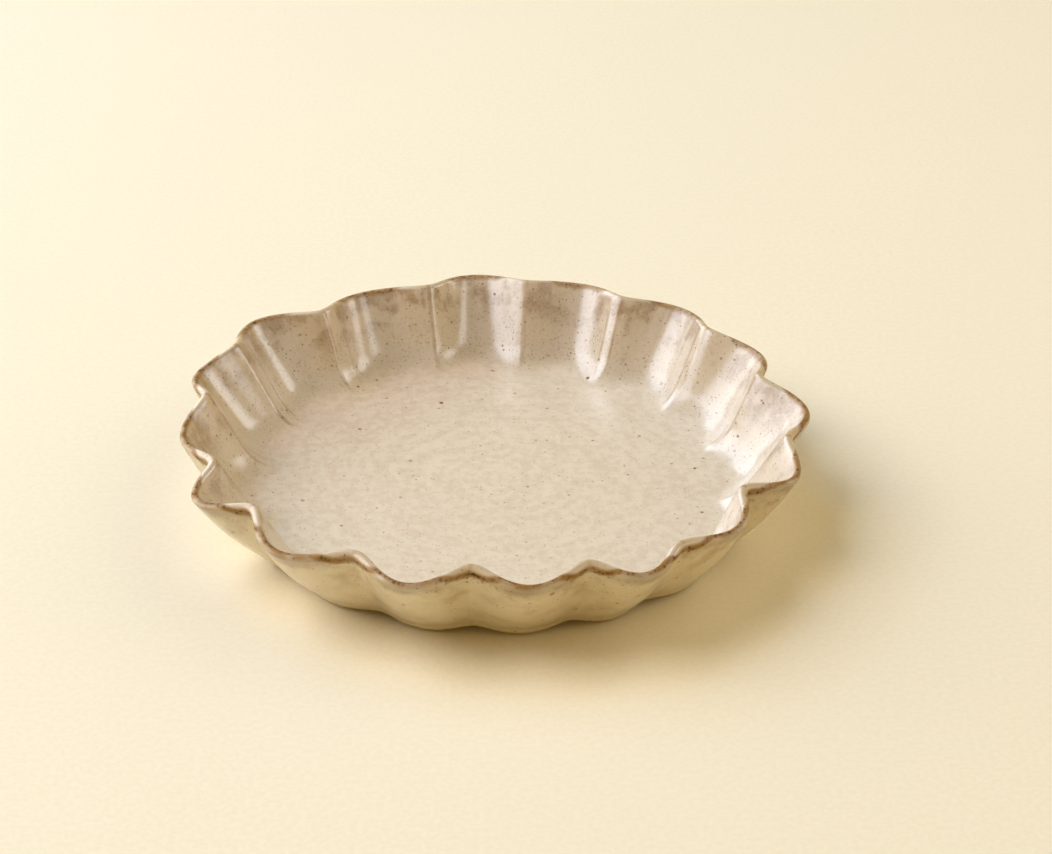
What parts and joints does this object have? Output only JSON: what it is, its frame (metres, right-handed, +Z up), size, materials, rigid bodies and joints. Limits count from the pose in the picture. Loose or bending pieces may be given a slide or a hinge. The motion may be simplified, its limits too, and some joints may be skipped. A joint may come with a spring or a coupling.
{
  "type": "scalloped dessert plate",
  "caption": "Round stoneware dessert plate with a flat floor, a flaring fluted wall pinched into a scalloped lip, a speckled cream glaze and a bare foot ring to stand on.",
  "frame": {"origin": "on the table at the middle of the plate, under the centre of the foot ring", "axes": "+Z up out of the plate, -Y towards the side nearest the viewer of the picture, +X to that viewer's right"},
  "size_m": [0.1646, 0.1663, 0.027],
  "materials": {
    "stoneware": "bare fired clay, matt and fine grained",
    "glaze": "glossy cream glaze with iron specks, breaking brown on the lip and ridges"
  },
  "bodies": {
    "root": {"stoneware_body": "stoneware", "glaze_coat": "glaze", "base_glaze": "glaze"}
  },
  "joints": []
}
